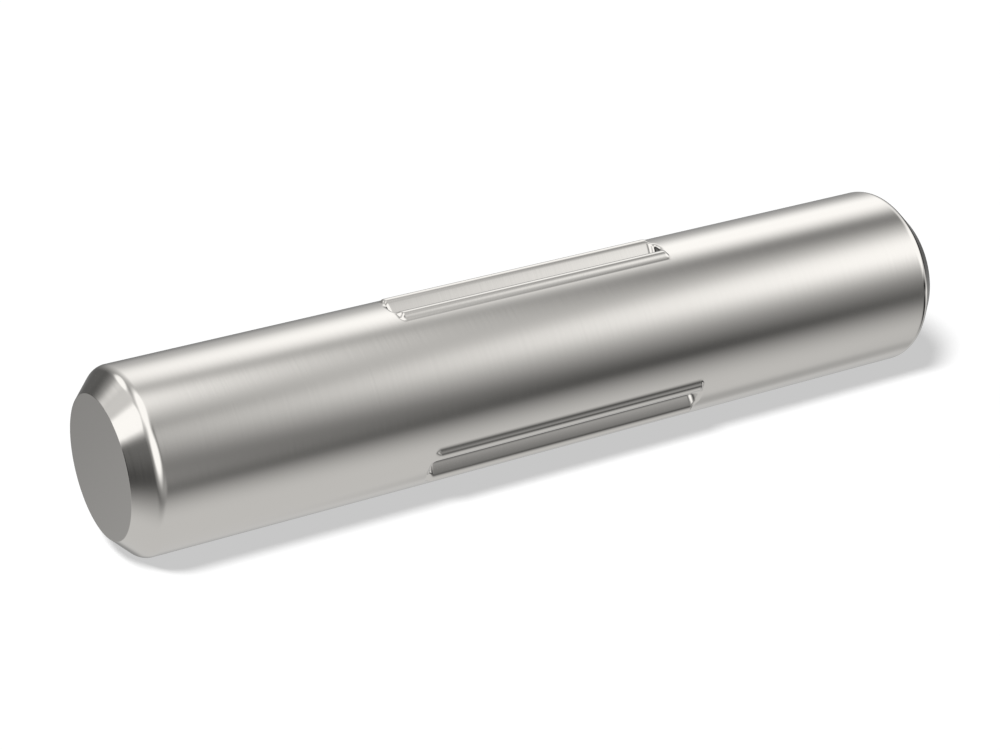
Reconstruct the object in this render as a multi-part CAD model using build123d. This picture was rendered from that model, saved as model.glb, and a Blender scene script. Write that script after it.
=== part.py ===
from build123d import *
from math import acos, asin, cos, degrees, radians, sin, sqrt, tan
import os

# A grooved pin of hardened steel, 10 mm thick and 50 mm long. It is driven into a plain drilled hole, where
# the three rolled grooves in the middle third of its length spring in and hold it. The pin stands on one
# end: the origin is the middle of the lower end face, and +Z runs along the pin. One groove faces +Y.

# Shank
shank_diameter = 10.0
pin_length = 50.0
chamfer_size = 1.18
shoulder_round = 0.7

# Grooves, each a vee rolled into the shank between two lips of pushed-up steel. The depth is measured to the
# point where the two walls would meet, if the root weren't round.
groove_count = 3
groove_length = 16.9
groove_depth = 0.92
groove_root_round = 0.36
wall_radius = 4.3
end_wall_round = 0.3
end_wall_lean = 10.0

# Lips, which stand proud of the shank and do the gripping
lip_rise = 0.22
lip_spacing = 1.88
lip_crest_round = 0.38
lip_foot_round = 0.6

# Slope at which each end of a lip sinks into the shank, and how deep it goes on to below the surface
ramp_angle = 40.0
ramp_sink = 0.11

# Values worked out from the sizes above
shank_radius = shank_diameter / 2
lip_reach = shank_radius + lip_rise
groove_start = (pin_length - groove_length) / 2
crest_circle_reach = lip_reach - lip_crest_round
crest_x = lip_spacing / 2
crest_y = sqrt(crest_circle_reach**2 - crest_x**2)
crest_top = Vector(crest_x, crest_y + lip_crest_round)
crest_centre = Vector(crest_x, crest_y)
root = Vector(0, shank_radius - groove_depth)
groove_plane = Plane.XY.offset(groove_start)

# A wall is an arc about a centre inside the steel. It leaves the root and runs into the crest, which it
# is tangent to.
root_to_crest = crest_centre - root
swing = acos(
    (wall_radius**2 + root_to_crest.length**2 - (wall_radius - lip_crest_round) ** 2)
    / (2 * wall_radius * root_to_crest.length)
)
wall_centre = root + root_to_crest.normalized().rotate(Axis.Z, -degrees(swing)) * wall_radius
wall_normal = (crest_centre - wall_centre).normalized()
wall_top = wall_centre + wall_normal * wall_radius
up_wall = Vector(wall_normal.Y, -wall_normal.X)


def towards(centre, radius, target):
    """The point of a circle that lies in the direction of another point."""
    return centre + (target - centre).normalized() * radius


def both_sides(edges):
    """The edges and their mirror images on the other side of the groove."""
    return [*edges, *[mirror(edge, Plane.YZ) for edge in edges]]


def make_blank():
    """Round bar with a chamfer on each end and a rounded shoulder behind each chamfer."""
    face_radius = shank_radius - chamfer_size
    outline = Polyline(
        (0, 0),
        (face_radius, 0),
        (shank_radius, chamfer_size),
        (shank_radius, pin_length - chamfer_size),
        (face_radius, pin_length),
        (0, pin_length),
        close=True,
    )
    half_section = make_face(outline)
    shoulders = half_section.vertices().group_by(Axis.X)[-1]
    return revolve(Plane.XZ * fillet(shoulders, shoulder_round), Axis.Z)


def lip_section():
    """Section of a pair of lips, as one solid land before the groove is cut into it.

    Each side is a round crest that runs through a hollow foot into the shank, every arc tangent to the next.
    The line over the top and the lines inside the shank only close the outline.
    """
    foot_circle_reach = shank_radius + lip_foot_round
    centre_gap = lip_crest_round + lip_foot_round
    spread = acos(
        (crest_circle_reach**2 + foot_circle_reach**2 - centre_gap**2)
        / (2 * crest_circle_reach * foot_circle_reach)
    )
    foot_angle = asin(crest_x / crest_circle_reach) + spread
    foot_centre = Vector(sin(foot_angle), cos(foot_angle)) * foot_circle_reach
    flank = towards(crest_centre, lip_crest_round, foot_centre)
    shank_point = towards(foot_centre, lip_foot_round, Vector(0, 0))
    crest_middle = towards(crest_centre, lip_crest_round, (crest_top + flank) / 2)
    foot_middle = towards(foot_centre, lip_foot_round, (flank + shank_point) / 2)
    inside = Vector(shank_point.X, root.Y)
    side = [
        ThreePointArc(crest_top, crest_middle, flank),
        ThreePointArc(flank, foot_middle, shank_point),
        Line(shank_point, inside),
    ]
    over_top = Line((-crest_top.X, crest_top.Y), crest_top)
    underneath = Line((-inside.X, inside.Y), inside)
    return make_face([*both_sides(side), over_top, underneath])


def groove_section():
    """Section that is cut away: a vee with slightly bulging walls and a rounded root.

    Above the point where they meet the crests, the walls go straight on, so that the cut comes out clear.
    """
    wall_middle = towards(wall_centre, wall_radius, (root + wall_top) / 2)
    wall_arc = ThreePointArc(root, wall_middle, wall_top)
    tip = wall_top + up_wall * lip_spacing / 2
    lid = Line((-tip.X, tip.Y), tip)
    vee = make_face([*both_sides([wall_arc, Line(wall_top, tip)]), lid])
    return fillet(vee.vertices().sort_by(Axis.Y)[0], groove_root_round)


def make_lips():
    """One pair of lips. At each end their whole section slides down a slope, until it is inside the shank.

    The slopes reach the shank's surface where the groove ends, and run on a little inside it.
    """
    slope = radians(ramp_angle)
    ramp_length = lip_rise / tan(slope)
    section = Plane.XY.offset(groove_start + ramp_length) * lip_section()
    level = extrude(section, groove_length - 2 * ramp_length)
    lower_ramp = extrude(section, (lip_rise + ramp_sink) / sin(slope), dir=(0, -sin(slope), -cos(slope)))
    upper_ramp = mirror(lower_ramp, Plane.XY.offset(pin_length / 2))
    return level + lower_ramp + upper_ramp


def make_groove_cutter():
    """The vee along its whole length, with rounds where its walls meet the end walls.

    The end walls lean outwards: they stand a groove's length apart at the shank, and less at the root.
    """
    vee = extrude(Plane.XY * groove_section(), pin_length)
    lid_y = vee.bounding_box().max.Y
    lean = tan(radians(end_wall_lean))
    half_length = groove_length / 2
    corners = [(y, half_length + (y - shank_radius) * lean) for y in (root.Y, lid_y)]
    side_view = make_face(Polyline(*corners, *[(y, -z) for y, z in reversed(corners)], close=True))
    side_plane = Plane((0, 0, pin_length / 2), x_dir=(0, 1, 0), z_dir=(1, 0, 0))
    cutter = vee & extrude(side_plane * side_view, lip_spacing, both=True)
    lid = cutter.faces().sort_by(Axis.Y)[-1]
    lid_edges = [edge.center() for edge in lid.edges()]
    ends = cutter.faces().sort_by(Axis.Z)[:1] + cutter.faces().sort_by(Axis.Z)[-1:]
    wall_edges = ends.edges().filter_by(lambda edge: edge.center() not in lid_edges)
    return fillet(wall_edges, end_wall_round)


def make_crest_trims():
    """Slivers that come off the inner edges of a pair of lips: the crests then run round into the walls."""
    corner = wall_top + up_wall * (crest_top.Y - wall_top.Y) / up_wall.Y
    crest_middle = towards(crest_centre, lip_crest_round, corner)
    sliver = [
        Line(wall_top, corner),
        Line(corner, crest_top),
        ThreePointArc(crest_top, crest_middle, wall_top),
    ]
    trim = extrude(groove_plane * make_face(sliver), groove_length)
    return trim + mirror(trim, Plane.YZ)


lips = make_lips()
groove_cutter = make_groove_cutter()
crest_trims = make_crest_trims()
grooved_pin = make_blank()
for turn in range(groove_count):
    place = Rot(0, 0, -360 * turn / groove_count)
    grooved_pin = grooved_pin + place * lips - place * groove_cutter - place * crest_trims

os.makedirs("parts", exist_ok=True)
export_step(grooved_pin, "parts/grooved_pin.step")
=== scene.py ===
import math

import bmesh
import bpy
import numpy as np
from mathutils import Matrix, Vector


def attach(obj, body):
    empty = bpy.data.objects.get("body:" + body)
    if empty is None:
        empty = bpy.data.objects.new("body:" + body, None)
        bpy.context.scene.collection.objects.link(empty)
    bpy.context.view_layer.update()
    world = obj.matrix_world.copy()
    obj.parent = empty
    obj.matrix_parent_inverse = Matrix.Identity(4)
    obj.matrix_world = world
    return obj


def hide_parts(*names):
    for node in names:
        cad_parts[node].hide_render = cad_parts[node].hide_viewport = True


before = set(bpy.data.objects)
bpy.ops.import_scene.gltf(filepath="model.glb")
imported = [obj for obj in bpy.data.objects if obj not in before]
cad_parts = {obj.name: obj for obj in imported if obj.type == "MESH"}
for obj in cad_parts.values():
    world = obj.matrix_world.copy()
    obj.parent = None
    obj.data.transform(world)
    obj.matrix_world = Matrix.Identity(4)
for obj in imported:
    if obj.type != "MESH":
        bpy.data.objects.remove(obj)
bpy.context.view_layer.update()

# Camera
# The pin lies on its side with its upper end towards the viewer, who looks down on it from that end. Up in
# the picture is +Y, so that one groove faces up and the next one faces the camera. Its place is in mm.

MM = 0.001
CAMERA_PLACE = (110.3331, 58.6635, 93.1190)
LINE_OF_SIGHT = (-0.77864, -0.41700, -0.46886)
SENSOR_WIDTH = 36.0
FOCAL_LENGTH = 94.1271

eye = Vector(CAMERA_PLACE) * MM
sight = Vector(LINE_OF_SIGHT).normalized()
level = sight.cross(Vector((0, 1, 0))).normalized()
camera_up = level.cross(sight)

camera_data = bpy.data.cameras.new("camera")
camera_data.sensor_width = SENSOR_WIDTH
camera_data.lens = FOCAL_LENGTH
camera = bpy.data.objects.new("camera", camera_data)
camera.matrix_world = Matrix.Translation(eye) @ Matrix((level, camera_up, -sight)).transposed().to_4x4()
bpy.context.scene.collection.objects.link(camera)
bpy.context.scene.camera = camera

# Grooved pin
# A straight pin of hardened steel, ground to size and then polished. Three grooves are rolled into the
# middle of its length. The rolling pushes a lip of steel up along each side of a groove, and the lips grip
# the hole.

# Sizes in mm, those of the CAD source but for the lips' rise, which is 0.22 mm there
SHANK_RADIUS = 5.0
PIN_LENGTH = 50.0
CHAMFER = 1.18
CHAMFER_SLANT = math.radians(45.0)
SHOULDER_ROUND = 0.7
GROOVE_COUNT = 3
GROOVE_LENGTH = 16.9
GROOVE_DEPTH = 0.92
ROOT_ROUND = 0.36
WALL_RADIUS = 4.3
END_WALL_ROUND = 0.3
END_WALL_LEAN = math.radians(10.0)
LIP_RISE = 0.205
LIP_SPACING = 1.88
CREST_ROUND = 0.38
FOOT_ROUND = 0.6
RAMP_ANGLE = math.radians(40.0)

# Rounds that only this mesh has, in mm: the edge round the groove's mouth, the edge of the end faces, and the
# hollow where a lip's ramp meets the shank. The hollow grows from next to nothing at the top of the ramp, to
# its full width a quarter of the way down.
EDGE_BREAK = 0.2
RIM_ROUND = 0.02
RAMP_HOLLOW = 0.03
NO_HOLLOW = 1e-9
FULL_HOLLOW_FROM = 0.25

# Where the arcs of the section lie, in a groove's own frame: X across the groove, Y out of the pin
groove_start = (PIN_LENGTH - GROOVE_LENGTH) / 2
crest_reach = SHANK_RADIUS + LIP_RISE - CREST_ROUND
crest = np.array([LIP_SPACING / 2, math.sqrt(crest_reach**2 - (LIP_SPACING / 2) ** 2)])
crest_top = crest + (0, CREST_ROUND)
crest_top_angle = math.atan2(crest_top[0], crest_top[1])
foot_reach = SHANK_RADIUS + FOOT_ROUND
foot_angle = math.atan2(crest[0], crest[1]) + math.acos(
    (crest_reach**2 + foot_reach**2 - (CREST_ROUND + FOOT_ROUND) ** 2) / (2 * crest_reach * foot_reach)
)
foot = np.array([math.sin(foot_angle), math.cos(foot_angle)]) * foot_reach
flank = crest + (foot - crest) * CREST_ROUND / (CREST_ROUND + FOOT_ROUND)
flank_angle = math.atan2(flank[0], flank[1])
to_crest = crest - (0, SHANK_RADIUS - GROOVE_DEPTH)
span = math.hypot(*to_crest)
swing = math.atan2(to_crest[1], to_crest[0]) - math.acos(
    (WALL_RADIUS**2 + span**2 - (WALL_RADIUS - CREST_ROUND) ** 2) / (2 * WALL_RADIUS * span)
)
wall = np.array([0, SHANK_RADIUS - GROOVE_DEPTH]) + WALL_RADIUS * np.array([math.cos(swing), math.sin(swing)])
into_air = (crest - wall) / (WALL_RADIUS - CREST_ROUND)
wall_top_turn = math.atan2(into_air[1], into_air[0])
root = np.array([0, wall[1] + math.sqrt((WALL_RADIUS + ROOT_ROUND) ** 2 - wall[0] ** 2)])
root_turn = math.atan2(wall[1] - root[1], wall[0])


def on_circle(centre, angle, radius, sign):
    """Distance from the pin's middle at which the ray at an angle meets a circle, on its near or far side.

    It is the centre's distance along the ray, plus or minus the root of the radius squared less the square
    of the centre's distance beside the ray.
    """
    way = np.stack([np.sin(angle), np.cos(angle)], -1)
    beside = centre[0] * way[..., 1] - centre[1] * way[..., 0]
    return way @ centre + sign * np.sqrt(np.maximum(radius**2 - beside**2, 0))


def lip_height(angle):
    """Height of a lip above the shank, by angle round the pin: a round crest, met by a hollow foot.

    Over the groove, from crest to crest, it is a flat.
    """
    on_crest = on_circle(crest, angle, CREST_ROUND, 1)
    on_foot = on_circle(foot, angle, FOOT_ROUND, -1)
    ray = np.where(angle < flank_angle, on_crest, on_foot)
    ray = np.where(angle < crest_top_angle, crest_top[1] / np.cos(angle), ray)
    return np.where(angle < foot_angle, ray, SHANK_RADIUS) - SHANK_RADIUS


def outer_surface(angle, along):
    """Radius of the pin outside the groove, by angle round it and distance along it from the groove's end.

    A lip stands LIP_RISE high, less what its crest and foot lack at that angle, less what its ramp lacks at
    that distance. The two lacks add up as the sides of a right angle do, which rounds the corners of the
    lip's end. The corner between ramp and shank is hollowed to a parabola: rise and hollow added up and
    squared, over four times the hollow.
    """
    lack_beside = LIP_RISE - lip_height(angle)
    lack_along = np.maximum(LIP_RISE - along * math.tan(RAMP_ANGLE), 0)
    rise = LIP_RISE - np.hypot(lack_beside, lack_along)
    hollow = RAMP_HOLLOW * np.minimum(lack_along / LIP_RISE / FULL_HOLLOW_FROM, 1) + NO_HOLLOW
    near = np.clip(1 - abs(rise) / hollow, 0, 1)
    return SHANK_RADIUS + np.where(angle < foot_angle, np.maximum(rise, 0) + near**2 * hollow / 4, 0)


def place(angle, radius, z):
    """Points from their angle round the pin, radius and height, which may be arrays of any matching shapes.

    X is the radius times the angle's sine, and Y the radius times its cosine.
    """
    angle, radius, z = np.broadcast_arrays(angle, radius, z)
    return np.stack([radius * np.sin(angle), radius * np.cos(angle), z], -1)


def bend(start, corner, end, steps):
    """A round between two edges: the circle's arc that leaves start towards corner and comes into end.

    As t goes from 0 to 1, it is the mean of the three points, which count as (1 - t) squared, as 2t(1 - t)
    times the chord's length over that of the two legs, and as t squared.
    """
    t = np.linspace(0, 1, steps + 1)[:, None]
    start, corner, end = (p[..., None, :] for p in (start, corner, end))
    legs = np.linalg.norm(corner - start, axis=-1) + np.linalg.norm(end - corner, axis=-1)
    pull = (np.linalg.norm(end - start, axis=-1) / legs)[..., None]
    shares = (1 - t) ** 2, 2 * t * (1 - t) * pull, t**2
    return (shares[0] * start + shares[1] * corner + shares[2] * end) / sum(shares)


def wall_point(turn, inset):
    """Points of the vee's wall, an arc about a centre inside the steel, moved into the groove by inset.

    Turn is the direction from that centre. Above the crest's end on the wall, the arc goes on as a straight
    line.
    """
    on_arc = np.maximum(turn, wall_top_turn)
    way = np.stack([np.cos(on_arc), np.sin(on_arc)], -1)
    past = (on_arc - turn)[..., None] * (into_air[1], -into_air[0])
    return wall + (WALL_RADIUS + inset)[..., None] * (way + past)


# Rows along the pin from the groove's end wall to mid length. At first they turn with the round between the
# end wall and the groove's sides, as the corner of the mouth does. Then they step up the ramp and a little
# past it, and the rest of the way takes only four. Distances are in mm.
CORNER_STEPS = 10
RAMP_STEPS = 30
RAMP_ROWS_END = 0.6
ROWS_AFTER_RAMP = (0.15, 0.6, 2.0)

turn = np.linspace(0, math.pi / 2, CORNER_STEPS + 1)
ramp_rows = END_WALL_ROUND + np.linspace(0, 1, RAMP_STEPS + 1)[1:] * RAMP_ROWS_END
last_rows = ramp_rows[-1] + np.array([*ROWS_AFTER_RAMP, PIN_LENGTH / 2 - groove_start - ramp_rows[-1]])
along_wall = np.concatenate([END_WALL_ROUND * (1 - np.cos(turn)), ramp_rows, last_rows])
turn = np.concatenate([turn, np.full(len(along_wall) - len(turn), math.pi / 2)])
inset = END_WALL_ROUND * (1 - np.sin(turn))

# The mouth's edge is where the moved wall comes out through the outer surface. The wall is traced upwards in
# fine steps, and the edge lies between the last step inside and the first one outside.
TRACE_STEPS = 6000

fine = np.linspace(math.pi + root_turn, math.pi / 2, TRACE_STEPS)
trace = wall_point(np.tile(fine, (len(inset), 1)), np.repeat(inset[:, None], len(fine), 1))
trace_angle = np.arctan2(trace[..., 0], trace[..., 1])
above = np.hypot(trace[..., 0], trace[..., 1]) - outer_surface(trace_angle, along_wall[:, None])
first = np.argmax(above > 0, 1)
pick = np.arange(len(first))
share = above[pick, first] / (above[pick, first] - above[pick, first - 1])
edge_turn = fine[first] + share * (fine[first - 1] - fine[first])
edge_xy = wall_point(edge_turn, inset)
edge_angle = np.arctan2(edge_xy[:, 0], edge_xy[:, 1])

# How far along the wall the end wall's lean still moves its points, in mm
LEAN_FADE = 2.0


def wall_z(xy):
    """Height of rows of wall points: the end wall leans outwards, so it is nearer mid length lower down.

    The shift is the depth below the mouth's edge times the tangent of the lean, and it fades out along the
    wall.
    """
    fade = np.clip(1 - (along_wall - END_WALL_ROUND) / LEAN_FADE, 0, 1)
    below = np.maximum(edge_xy[:, 1:] - xy[..., 1], 0)
    return groove_start + along_wall[:, None] + math.tan(END_WALL_LEAN) * below * fade[:, None]


# The mouth's edge is rounded, from the outer surface, square to the edge, to the wall. Beside a lip the
# round grows into the crest: it starts at the crest's top and ends where the crest runs into the wall.
EDGE_STEPS = 8

setback = np.maximum((wall_top_turn - edge_turn) * WALL_RADIUS, EDGE_BREAK)
outer_angle = edge_angle + setback / np.hypot(*edge_xy.T) * np.sin(turn)
outer_along = along_wall - setback * np.cos(turn)
outer = place(outer_angle, outer_surface(outer_angle, outer_along), groove_start + outer_along)
edge = np.column_stack([edge_xy, groove_start + along_wall])
inner_turn = edge_turn + setback / (WALL_RADIUS + inset)
inner_xy = wall_point(inner_turn, inset)
inner = np.column_stack([inner_xy, wall_z(inner_xy[:, None])[:, 0]])

patches = [bend(outer, edge, inner, EDGE_STEPS)]

# Lips and shank beside the groove. The shank's columns start PAST_LIP radians past the lip and are closest
# there: EVEN_PART of their spread goes up with share, and the rest with its square.
LIP_STEPS = 30
SHANK_STEPS = 24
PAST_LIP = 0.01
EVEN_PART = 0.3

lip_end = foot_angle + PAST_LIP
share = np.linspace(0, 1, LIP_STEPS + 1)
lip_angles = outer_angle[:, None] * (1 - share) + lip_end * share
share = np.linspace(0, 1, SHANK_STEPS + 1)
spread = EVEN_PART * share + (1 - EVEN_PART) * share**2
shank_angles = lip_end + (math.pi / GROOVE_COUNT - lip_end) * spread
angles = np.concatenate([lip_angles, np.tile(shank_angles[1:], (len(turn), 1))], 1)
along = outer_along[:, None]
patches.append(place(angles, outer_surface(angles, along), groove_start + along))

# Groove wall and rounded root
WALL_STEPS = 12
ROOT_STEPS = 8

share = np.linspace(0, 1, WALL_STEPS + 1)
wall_turn = inner_turn[:, None] * (1 - share) + (math.pi + root_turn) * share
wall_xy = wall_point(wall_turn, np.repeat(inset[:, None], WALL_STEPS + 1, 1))
root_angle = np.linspace(root_turn, -math.pi / 2, ROOT_STEPS + 1)[1:]
root_xy = root + (ROOT_ROUND - inset)[:, None, None] * np.stack([np.cos(root_angle), np.sin(root_angle)], -1)
vee = np.concatenate([wall_xy, root_xy], 1)
vee = np.concatenate([vee, wall_z(vee)[..., None]], -1)
patches.append(vee)

# End wall, from the vee's outline straight up to a line just below the shank, and its rounded top edge. Its
# rows are closest beside its rounds.
END_WALL_ROWS = (0, 0.1, 0.5, 0.9, 1)

end_outline = vee[0]
top_radius = math.hypot(*end_outline[0, :2])
top_angle = np.arcsin(np.clip(end_outline[:, 0] / top_radius, 0, 1))
top_line = place(top_angle, top_radius, groove_start)
top_line[:, 2] += math.tan(END_WALL_LEAN) * np.maximum(edge_xy[0, 1] - top_line[:, 1], 0)
share = np.array(END_WALL_ROWS)[:, None, None]
patches.append(end_outline * (1 - share) + top_line * share)
rim_angle = top_angle * outer_angle[0] / top_angle[0]
patches.append(
    bend(
        place(rim_angle, SHANK_RADIUS, groove_start - EDGE_BREAK),
        place(rim_angle, outer_surface(rim_angle, 0), groove_start),
        top_line,
        EDGE_STEPS,
    )
)


def arc(corner, before, after, radius, steps):
    """Round of a profile's corner: a circle's arc tangent to the directions before and after the corner.

    Its centre lies between the two, as far from the corner as the radius over the cosine of half the turn.
    """
    before, after = np.array(before, float), np.array(after, float)
    half = math.acos(np.clip(before @ after, -1, 1)) / 2
    centre_way = (after - before) / np.linalg.norm(after - before)
    centre = np.array(corner) + centre_way * radius / math.cos(half)
    swing = np.linspace(-half, half, steps + 1)
    across = (before + after) / np.linalg.norm(before + after)
    return centre + radius * (np.sin(swing)[:, None] * across - np.cos(swing)[:, None] * centre_way)


# End face, chamfer, shoulder and shank, as a profile carried round the pin. Rows of points close beside each
# round, at these distances in mm, keep the shading of the flats next to it flat.
RIM_STEPS = 5
SHOULDER_STEPS = 14
FACE_RINGS = (0, 0.5, 0.9)
BESIDE_RIM = 0.05
BESIDE_CHAMFER = (0.03, 0.03)
BESIDE_SHOULDER = (0.05, 0.5)
BESIDE_GROOVE = (0.3, 0.03, 0)

face_radius = SHANK_RADIUS - CHAMFER
slope_way = (math.cos(CHAMFER_SLANT), math.sin(CHAMFER_SLANT))
rim = arc((face_radius, 0), (1, 0), slope_way, RIM_ROUND, RIM_STEPS)
shoulder = arc((SHANK_RADIUS, CHAMFER), slope_way, (0, 1), SHOULDER_ROUND, SHOULDER_STEPS)
start_z = shoulder[-1, 1]
end_z = groove_start - EDGE_BREAK
profile = np.concatenate(
    [
        [(face_radius * ring, 0) for ring in FACE_RINGS],
        [(rim[0, 0] - BESIDE_RIM, 0)],
        rim,
        [rim[-1] + BESIDE_CHAMFER, (rim[-1] + shoulder[0]) / 2, shoulder[0] - BESIDE_CHAMFER],
        shoulder,
        [(SHANK_RADIUS, start_z + gap) for gap in BESIDE_SHOULDER],
        [(SHANK_RADIUS, (start_z + end_z) / 2)],
        [(SHANK_RADIUS, end_z - gap) for gap in BESIDE_GROOVE],
    ]
)
round_angles = np.concatenate([rim_angle[::-1], angles[0, 1:]])
patches.append(place(round_angles[None, :], profile[:, :1], profile[:, 1:]))

# Each patch is a quarter of a groove's share of the pin. Mirrored both ways and turned, they close the pin.
# Points within the weld's reach, in mm, become one where the patches meet.
MIRRORED = ((1, 1, 1), (1, 1, -1), (-1, 1, 1), (-1, 1, -1))
WELD = 0.0001

middle = np.array([0, 0, PIN_LENGTH / 2])
points = []
faces = []
count = 0
for patch in patches:
    rows, columns = patch.shape[:2]
    index = np.arange(rows * columns).reshape(rows, columns)
    quads = np.stack([index[:-1, :-1], index[1:, :-1], index[1:, 1:], index[:-1, 1:]], -1).reshape(-1, 4)
    for groove in range(GROOVE_COUNT):
        angle = -2 * math.pi * groove / GROOVE_COUNT
        across = (math.cos(angle), math.sin(angle), 0)
        outwards = (-math.sin(angle), math.cos(angle), 0)
        for signs in MIRRORED:
            quarter = (patch.reshape(-1, 3) - middle) * signs + middle
            points.append(quarter @ np.array([across, outwards, (0, 0, 1)]))
            faces.append(quads + count)
            count += len(quarter)
points = np.concatenate(points) * MM
faces = np.concatenate(faces)

mesh = bpy.data.meshes.new("pin")
mesh.from_pydata(points.tolist(), [], faces.tolist())
shell = bmesh.new()
shell.from_mesh(mesh)
bmesh.ops.remove_doubles(shell, verts=shell.verts, dist=WELD * MM)
bmesh.ops.recalc_face_normals(shell, faces=shell.faces)
shell.to_mesh(mesh)
shell.free()
mesh.shade_smooth()
pin = bpy.data.objects.new("polished_pin", mesh)
bpy.context.scene.collection.objects.link(pin)


def linear(colour):
    """An sRGB colour, written as hex, as the linear values that shaders take."""
    parts = [int(colour[i : i + 2], 16) / 255 for i in (0, 2, 4)]
    return [c / 12.92 if c <= 0.04045 else ((c + 0.055) / 1.055) ** 2.4 for c in parts] + [1.0]


def node(tree, kind, values=None, **settings):
    """Adds a node: settings are its own choices, and values fill or link its inputs, by name or number."""
    made = tree.nodes.new(kind)
    for name, value in settings.items():
        setattr(made, name, value)
    for socket, value in (values or {}).items():
        if isinstance(value, bpy.types.NodeSocket):
            tree.links.new(value, made.inputs[socket])
        else:
            made.inputs[socket].default_value = value
    return made


# Hardened alloy steel, centreless ground and then tumbled until it shines. The eye sees soft mirror-like
# bands of light with a faint warm tint. The grinding leaves fine rings round the pin, which are drawn about
# ten times as coarse as the real 0.02 mm ones so that they show at all, and 40 times as long as they are
# wide. The tumbling leaves a faint mottle of duller spots a millimetre or so apart. Sizes are in mm.
STEEL = "f4f1ec"
GRIND_SPACING = 0.2
GRIND_STRETCH = 40
GRIND_HEIGHT = 0.0012
MOTTLE_SIZE = 1.2
ROUGHNESS = 0.1
ROUGHNESS_SPREAD = 0.015

# Rings and mottle are noises that add up to about 1, and seldom to less or more than these
DULLNESS_LOW = 0.6
DULLNESS_HIGH = 1.4

steel = bpy.data.materials.new("polished_hardened_steel")
steel.use_nodes = True
tree = steel.node_tree
tree.nodes.clear()
where = node(tree, "ShaderNodeTexCoord").outputs["Object"]
along_pin = 1 / (GRIND_SPACING * MM)
round_pin = along_pin / GRIND_STRETCH
ground = node(tree, "ShaderNodeMapping", {"Vector": where, "Scale": (round_pin, round_pin, along_pin)})
rings = node(
    tree,
    "ShaderNodeTexNoise",
    {"Vector": ground.outputs[0], "Scale": 1.0, "Detail": 3.0},
).outputs["Fac"]
spots = node(
    tree,
    "ShaderNodeTexNoise",
    {"Vector": where, "Scale": 1 / (MOTTLE_SIZE * MM), "Detail": 2.0},
).outputs["Fac"]
dullness = node(tree, "ShaderNodeMath", {0: rings, 1: spots}, operation="ADD").outputs[0]
roughness = node(
    tree,
    "ShaderNodeMapRange",
    {
        "Value": dullness,
        "From Min": DULLNESS_LOW,
        "From Max": DULLNESS_HIGH,
        "To Min": ROUGHNESS - ROUGHNESS_SPREAD,
        "To Max": ROUGHNESS + ROUGHNESS_SPREAD,
    },
).outputs["Result"]
marks = node(tree, "ShaderNodeBump", {"Strength": 1.0, "Distance": GRIND_HEIGHT * MM, "Height": rings})
metal = node(
    tree,
    "ShaderNodeBsdfPrincipled",
    {
        "Base Color": linear(STEEL),
        "Metallic": 1.0,
        "Roughness": roughness,
        "Normal": marks.outputs["Normal"],
    },
)
node(tree, "ShaderNodeOutputMaterial", {"Surface": metal.outputs["BSDF"]})
mesh.materials.append(steel)

# In the photograph the steel doesn't mirror itself: its grooves' end walls stay dark and sharp
pin.visible_glossy = False
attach(pin, "root")
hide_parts("grooved_pin")

# Floor
# A plain white table that the pin lies on, 4 m wide so that its edges are far out of view. It shows only its
# upper side, and only to the camera: the steel's reflections pass through it to the sweep of the studio.

FLOOR_REACH = 2.0

corners = [(-FLOOR_REACH, -FLOOR_REACH), (-FLOOR_REACH, FLOOR_REACH)]
corners += [(FLOOR_REACH, FLOOR_REACH), (FLOOR_REACH, -FLOOR_REACH)]
floor_mesh = bpy.data.meshes.new("floor")
floor_mesh.from_pydata([(x, -SHANK_RADIUS * MM, z) for x, z in corners], [], [(0, 1, 2, 3)])
floor = bpy.data.objects.new("floor", floor_mesh)
bpy.context.scene.collection.objects.link(floor)

# Matt white paint. The lamp's light on it and its glow add up to plain white, and in the heart of the shadow
# only the glow is left, which is the shadow's grey.
PAINT = "c2c2c2"
SHADOW = "c7c7c7"

paint = bpy.data.materials.new("matt_white_paint")
paint.use_nodes = True
tree = paint.node_tree
tree.nodes.clear()
light_path = node(tree, "ShaderNodeLightPath")
side = node(tree, "ShaderNodeNewGeometry")
shade = node(tree, "ShaderNodeBsdfDiffuse", {"Color": linear(PAINT)})
glow = node(tree, "ShaderNodeEmission", {"Color": linear(SHADOW), "Strength": 1.0})
both = node(tree, "ShaderNodeAddShader", {0: shade.outputs[0], 1: glow.outputs[0]})
clear = node(tree, "ShaderNodeBsdfTransparent")
seen = node(
    tree,
    "ShaderNodeMath",
    {0: light_path.outputs["Is Camera Ray"], 1: side.outputs["Backfacing"]},
    operation="SUBTRACT",
    use_clamp=True,
)
mix = node(tree, "ShaderNodeMixShader", {0: seen.outputs[0], 1: clear.outputs[0], 2: both.outputs[0]})
node(tree, "ShaderNodeOutputMaterial", {"Surface": mix.outputs[0]})
floor_mesh.materials.append(paint)

# Key light
# A wide lamp high above the pin, a little to the viewer's side and to the left. It only draws the shadow on
# the table, because the steel mirrors the soft boxes alone. At a strength of pi a colour renders as it is
# written.

KEY_STRENGTH = math.pi
KEY_WIDTH = math.radians(15.4)
KEY_DIRECTION = (0.284, 1.0, 0.54)

key_data = bpy.data.lights.new("key", "SUN")
key_data.energy = KEY_STRENGTH
key_data.angle = KEY_WIDTH
key = bpy.data.objects.new("key", key_data)
key.rotation_mode = "QUATERNION"
key.rotation_quaternion = Vector(KEY_DIRECTION).normalized().to_track_quat("Z", "Y")
key.visible_glossy = False
bpy.context.scene.collection.objects.link(key)

# Studio
# A plain studio: soft boxes stand round the pin above a dim horizon, and a grey sweep lies below it. Boxes
# with a strength below zero are dark flags, which take light away again.

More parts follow.
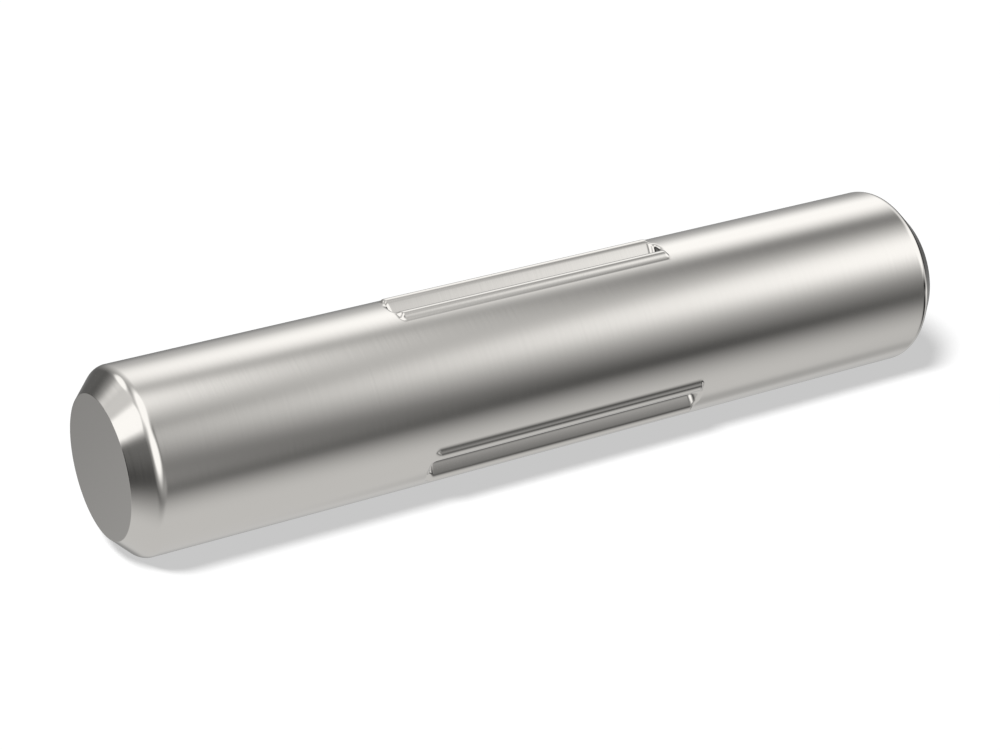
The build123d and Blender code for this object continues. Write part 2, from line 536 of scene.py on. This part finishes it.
# Each box is an ellipse. Azimuth goes from -Z towards -X, elevation up from the horizon, and roll turns the
# box in its own plane. Half width and half height reach to where half its strength is left, and softness is
# how far it fades on each side of that line, as a share of them. All angles are in degrees.
SOFT_BOXES = [
    # azimuth, elevation, roll, half width, half height, softness, strength
    (37.5, 31.2, 30.1, 26.2, 17.9, 0.97, 0.591),
    (-20.6, 18.0, 31.8, 29.8, 40.0, 0.70, 1.244),
    (60.9, 98.6, -42.8, 20.1, 28.3, 0.86, 1.250),
    (173.1, 26.1, -9.3, 9.7, 18.4, 0.97, 1.244),
    (155.8, 40.8, 15.0, 31.6, 18.9, 0.84, 0.635),
    (68.2, 43.2, -16.3, 30.5, 50.6, 0.97, 0.507),
    (-115.3, 23.6, 73.1, 44.1, 57.6, 0.34, 0.345),
    (17.5, -55.9, 1.6, 9.7, 5.5, 0.97, -0.139),
    (89.7, -34.1, 36.8, 19.1, 10.4, 0.97, -0.228),
    (-121.6, -23.6, 32.2, 29.7, 18.4, 0.97, -0.146),
    (-115.7, 26.0, -1.3, 24.9, 28.9, 0.62, 0.878),
    (119.2, 40.2, -6.0, 13.9, 13.6, 0.38, 0.534),
    (-29.2, -12.0, -59.6, 32.3, 11.5, 0.97, -0.519),
    (59.0, -14.0, 0.0, 45.0, 13.0, 0.97, -0.095),
    (-4.0, -3.0, 0.0, 32.0, 10.0, 0.45, -0.55),
]

# Strengths are given as they show in the steel, which returns this share of the light
STEEL_SHINE = 0.885

# The sweep's light, and that of the dim room above it, where less than none darkens the boxes' faint rims.
# One turns into the other over SWEEP_FADE radians, up to SWEEP_TOP radians above the horizon. The far side
# of the room, behind the pin, glows a little more the higher it is. Nothing shows brighter than BRIGHTEST.
SWEEP = 0.4914 / STEEL_SHINE
HORIZON = -0.1513 / STEEL_SHINE
SWEEP_TOP = 0.3314
SWEEP_FADE = 1.3421
BACK_GLOW = 0.1913 / STEEL_SHINE
BRIGHTEST = 0.95 / STEEL_SHINE

world = bpy.data.worlds.new("studio")
bpy.context.scene.world = world
world.use_nodes = True
tree = world.node_tree
tree.nodes.clear()
ray = node(tree, "ShaderNodeTexCoord").outputs["Generated"]
up_part = node(tree, "ShaderNodeVectorMath", {0: ray, 1: (0, 1, 0)}, operation="DOT_PRODUCT").outputs["Value"]
height = node(tree, "ShaderNodeMath", {0: up_part}, operation="ARCSINE").outputs[0]
light, sky = (
    node(
        tree,
        "ShaderNodeMapRange",
        {
            "Value": height,
            "From Min": SWEEP_TOP - SWEEP_FADE,
            "From Max": SWEEP_TOP,
            "To Min": at_bottom,
            "To Max": at_top,
        },
        interpolation_type="SMOOTHERSTEP",
    ).outputs["Result"]
    for at_bottom, at_top in ((SWEEP, HORIZON), (0.0, BACK_GLOW))
)
far = node(tree, "ShaderNodeVectorMath", {0: ray, 1: (-1, 0, 0)}, operation="DOT_PRODUCT").outputs["Value"]
backwards = node(tree, "ShaderNodeMath", {0: far, 1: 0.0}, operation="MAXIMUM").outputs[0]
glow_behind = node(tree, "ShaderNodeMath", {0: sky, 1: backwards}, operation="MULTIPLY").outputs[0]
light = node(tree, "ShaderNodeMath", {0: light, 1: glow_behind}, operation="ADD").outputs[0]
for azimuth, elevation, roll, half_width, half_height, softness, strength in SOFT_BOXES:
    azimuth, elevation, roll, half_width, half_height = (
        math.radians(a) for a in (azimuth, elevation, roll, half_width, half_height)
    )
    level_part = math.cos(elevation)
    ahead = Vector((-level_part * math.sin(azimuth), math.sin(elevation), -level_part * math.cos(azimuth)))
    aside = Vector((-math.cos(azimuth), 0, math.sin(azimuth)))
    over = ahead.cross(aside)
    wide = math.cos(roll) * aside + math.sin(roll) * over
    tall = -math.sin(roll) * aside + math.cos(roll) * over
    parts = [
        node(tree, "ShaderNodeVectorMath", {0: ray, 1: tuple(way)}, operation="DOT_PRODUCT").outputs["Value"]
        for way in (ahead, wide, tall)
    ]
    sideways = node(tree, "ShaderNodeMath", {0: parts[1], 1: parts[0]}, operation="ARCTAN2").outputs[0]
    upwards = node(tree, "ShaderNodeMath", {0: parts[2]}, operation="ARCSINE").outputs[0]
    spot = node(tree, "ShaderNodeCombineXYZ", {0: sideways, 1: upwards}).outputs[0]
    spot = node(
        tree,
        "ShaderNodeVectorMath",
        {0: spot, 1: (1 / half_width, 1 / half_height, 1)},
        operation="MULTIPLY",
    ).outputs[0]
    away = node(tree, "ShaderNodeVectorMath", {0: spot}, operation="LENGTH").outputs["Value"]
    shine = node(
        tree,
        "ShaderNodeMapRange",
        {
            "Value": away,
            "From Min": 1 - softness,
            "From Max": 1 + softness,
            "To Min": strength / STEEL_SHINE,
            "To Max": 0.0,
        },
        interpolation_type="SMOOTHERSTEP",
    ).outputs["Result"]
    light = node(tree, "ShaderNodeMath", {0: light, 1: shine}, operation="ADD").outputs[0]
light = node(tree, "ShaderNodeMath", {0: light, 1: BRIGHTEST}, operation="MINIMUM").outputs[0]
light = node(tree, "ShaderNodeMath", {0: light, 1: 0.0}, operation="MAXIMUM").outputs[0]

# Only the steel's mirror rays see the room. The camera sees plain white, and rays that the table has
# scattered see the dark, so that the lamp alone lights it.
light_path = node(tree, "ShaderNodeLightPath")
room = node(tree, "ShaderNodeBackground", {"Color": linear("ffffff"), "Strength": light})
backdrop = node(tree, "ShaderNodeBackground", {"Color": linear("ffffff"), "Strength": 1.0})
dark = node(tree, "ShaderNodeBackground", {"Color": linear("000000"), "Strength": 0.0})
mirrored = node(
    tree,
    "ShaderNodeMath",
    {0: light_path.outputs["Is Glossy Ray"], 1: light_path.outputs["Diffuse Depth"]},
    operation="SUBTRACT",
    use_clamp=True,
).outputs[0]
reflected = node(tree, "ShaderNodeMixShader", {0: mirrored, 1: dark.outputs[0], 2: room.outputs[0]})
shown = node(
    tree,
    "ShaderNodeMixShader",
    {0: light_path.outputs["Is Camera Ray"], 1: reflected.outputs[0], 2: backdrop.outputs[0]},
)
node(tree, "ShaderNodeOutputWorld", {"Surface": shown.outputs[0]})

# Colours
# Colours are shown as they are.

bpy.context.scene.view_settings.view_transform = "Standard"
